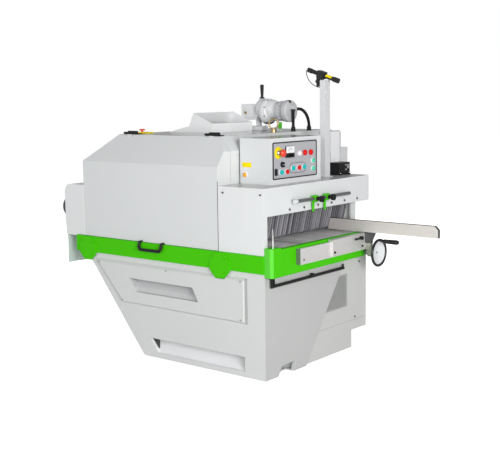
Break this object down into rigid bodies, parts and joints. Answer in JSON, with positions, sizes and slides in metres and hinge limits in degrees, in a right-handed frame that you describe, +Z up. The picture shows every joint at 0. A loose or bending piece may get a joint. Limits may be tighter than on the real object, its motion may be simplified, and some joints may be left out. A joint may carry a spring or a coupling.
{
  "type": "multi rip saw",
  "caption": "Floor-standing multi-blade rip saw with chain feed, swing-up side door, anti-kickback fingers, sliding infeed fence with handwheel, control panel and roof gear unit.",
  "frame": {"origin": "on the floor under the middle of the cabinet's foot", "axes": "+X out of the infeed end towards the operator, -Y towards the near side with the swing-up door, +Z up"},
  "size_m": [2.466, 1.497, 1.8967],
  "materials": {
    "white_paint": "satin light grey-white powder coat",
    "green_paint": "vivid green enamel",
    "bare_steel": "ground bare steel",
    "cast_iron": "dark iron",
    "grey_paint": "grey paint",
    "black_paint": "black paint",
    "black_plastic": "black plastic",
    "rubber": "black rubber",
    "strip_pvc": "pale green clear PVC",
    "red_plastic": "red plastic",
    "green_plastic": "green plastic",
    "yellow_plastic": "yellow plastic",
    "gold_zinc": "yellow zinc plating"
  },
  "bodies": {
    "frame": {"base_cabinet": "white_paint", "vent_panel": "white_paint", "side_cover": "white_paint", "levelling_feet": "bare_steel", "bed_frame": "green_paint", "front_beam": "green_paint", "shaft_covers": "green_paint", "table_plates": "bare_steel", "feed_chain": "cast_iron", "main_housing": "white_paint", "infeed_hood": "white_paint", "belt_guard": "white_paint", "dust_chute": "white_paint", "outfeed_hood": "white_paint", "strip_curtain": "strip_pvc", "control_box": "white_paint", "panel_plate": "grey_paint", "panel_indicators": "red_plastic", "laser_post": "white_paint", "laser_unit": "black_paint", "laser_supply": "black_paint", "gear_unit": "grey_paint", "gear_motor": "grey_paint", "conduits": "black_plastic", "lifting_eye": "gold_zinc", "stop_box": "yellow_plastic", "hinge_leaves": "black_paint", "fence_rail": "bare_steel", "guide_rods": "bare_steel", "main_motor": "grey_paint", "inner_supports": "cast_iron", "drive_belts": "rubber", "screws": "bare_steel"},
    "door": {"side_door": "white_paint", "door_fittings": "black_plastic"},
    "fingers": {"kickback_fingers": "bare_steel"},
    "arbor": {"saw_arbor": "bare_steel", "saw_blades": "bare_steel"},
    "rotor": {"motor_pulley": "bare_steel"},
    "infeed_drum": {"infeed_sprockets": "bare_steel"},
    "outfeed_drum": {"outfeed_sprockets": "bare_steel"},
    "front_roller": {"infeed_roller": "bare_steel"},
    "rear_roller": {"outfeed_roller": "bare_steel"},
    "fence": {"fence_bar": "bare_steel", "fence_carriage": "bare_steel"},
    "wheel": {"handwheel": "black_plastic"},
    "lever": {"clamp_lever": "black_plastic"},
    "left_pointer": {"near_pointer": "green_paint"},
    "right_pointer": {"far_pointer": "green_paint"},
    "trip": {"trip_bar": "black_paint"},
    "crank": {"gear_crank": "black_plastic"},
    "stop_head": {"panel_stop": "red_plastic"},
    "roof_head": {"roof_stop": "red_plastic"},
    "start_cap": {"start_button": "green_plastic"},
    "halt_cap": {"halt_button": "red_plastic"},
    "up_cap": {"up_button": "green_plastic"},
    "pause_cap": {"pause_button": "red_plastic"},
    "down_cap": {"down_button": "green_plastic"},
    "selector": {"selector_knob": "black_plastic"},
    "rocker": {"rocker_switch": "black_plastic"}
  },
  "joints": [
    {"name": "door_swing", "type": "hinge", "parent": "frame", "child": "door", "pos_m": [-0.4, -0.457, 1.477], "axis": [-1, 0, 0], "range_deg": [0, 75]},
    {"name": "finger_swing", "type": "hinge", "parent": "frame", "child": "fingers", "pos_m": [0.358, 0, 1.05], "axis": [0, 1, 0], "range_deg": [0, 45]},
    {"name": "arbor_spin", "type": "hinge", "parent": "frame", "child": "arbor", "pos_m": [-0.33, 0, 0.955], "axis": [0, 1, 0], "continuous": true},
    {"name": "motor_spin", "type": "hinge", "parent": "frame", "child": "rotor", "pos_m": [-0.33, 0.8, 0.32], "axis": [0, 1, 0], "continuous": true},
    {"name": "infeed_drum_spin", "type": "hinge", "parent": "frame", "child": "infeed_drum", "pos_m": [0.174, 0, 0.695], "axis": [0, 1, 0], "continuous": true},
    {"name": "outfeed_drum_spin", "type": "hinge", "parent": "frame", "child": "outfeed_drum", "pos_m": [-1.022, 0, 0.695], "axis": [0, 1, 0], "continuous": true},
    {"name": "front_roller_spin", "type": "hinge", "parent": "frame", "child": "front_roller", "pos_m": [0.02, 0.1, 0.851], "axis": [0, 1, 0], "continuous": true},
    {"name": "rear_roller_spin", "type": "hinge", "parent": "frame", "child": "rear_roller", "pos_m": [-0.64, 0.1, 0.851], "axis": [0, 1, 0], "continuous": true},
    {"name": "fence_slide", "type": "slide", "parent": "frame", "child": "fence", "axis": [0, 1, 0], "range_m": [-0.35, 0]},
    {"name": "wheel_spin", "type": "hinge", "parent": "fence", "child": "wheel", "pos_m": [0.646, 0.464, 0.664], "axis": [1, 0, 0], "range_deg": [-1010, 10]},
    {"name": "lever_swing", "type": "hinge", "parent": "fence", "child": "lever", "pos_m": [0.6, 0.352, 0.772], "axis": [1, 0, 0], "range_deg": [-60, 0]},
    {"name": "near_pointer_slide", "type": "slide", "parent": "frame", "child": "left_pointer", "axis": [0, 1, 0], "range_m": [-0.15, 0.04]},
    {"name": "far_pointer_slide", "type": "slide", "parent": "frame", "child": "right_pointer", "axis": [0, 1, 0], "range_m": [-0.04, 0.2]},
    {"name": "trip_swing", "type": "hinge", "parent": "frame", "child": "trip", "pos_m": [0.528, -0.53, 0.654], "axis": [0, 1, 0], "range_deg": [0, 8], "stiffness_Nm_per_rad": 4, "springref_deg": -17.19},
    {"name": "crank_turn", "type": "hinge", "parent": "frame", "child": "crank", "pos_m": [-0.25, 0.39, 1.695], "axis": [0, 0, 1], "range_deg": [-150, 150]},
    {"name": "panel_stop_push", "type": "slide", "parent": "frame", "child": "stop_head", "axis": [-1, 0, 0], "range_m": [0, 0.008]},
    {"name": "roof_stop_push", "type": "slide", "parent": "frame", "child": "roof_head", "axis": [0, 0, -1], "range_m": [0, 0.008]},
    {"name": "start_push", "type": "slide", "parent": "frame", "child": "start_cap", "axis": [-1, 0, 0], "range_m": [0, 0.004], "stiffness_N_per_m": 300, "springref_m": -0.004},
    {"name": "halt_push", "type": "slide", "parent": "frame", "child": "halt_cap", "axis": [-1, 0, 0], "range_m": [0, 0.004], "stiffness_N_per_m": 300, "springref_m": -0.004},
    {"name": "up_push", "type": "slide", "parent": "frame", "child": "up_cap", "axis": [-1, 0, 0], "range_m": [0, 0.004], "stiffness_N_per_m": 300, "springref_m": -0.004},
    {"name": "pause_push", "type": "slide", "parent": "frame", "child": "pause_cap", "axis": [-1, 0, 0], "range_m": [0, 0.004], "stiffness_N_per_m": 300, "springref_m": -0.004},
    {"name": "down_push", "type": "slide", "parent": "frame", "child": "down_cap", "axis": [-1, 0, 0], "range_m": [0, 0.004], "stiffness_N_per_m": 300, "springref_m": -0.004},
    {"name": "selector_turn", "type": "hinge", "parent": "frame", "child": "selector", "pos_m": [0.424, -0.283, 1.293], "axis": [1, 0, 0], "range_deg": [-45, 45]},
    {"name": "rocker_tilt", "type": "hinge", "parent": "frame", "child": "rocker", "pos_m": [0.426, -0.345, 1.249], "axis": [0, 1, 0], "range_deg": [-8, 8]}
  ],
  "couplings": [
    {"joint": "motor_spin", "follows": "arbor_spin", "ratio": 1},
    {"joint": "outfeed_drum_spin", "follows": "infeed_drum_spin", "ratio": 1},
    {"joint": "front_roller_spin", "follows": "infeed_drum_spin", "ratio": -2.2889},
    {"joint": "rear_roller_spin", "follows": "infeed_drum_spin", "ratio": -2.2889},
    {"joint": "wheel_spin", "follows": "fence_slide", "rad_per_m": 50}
  ]
}
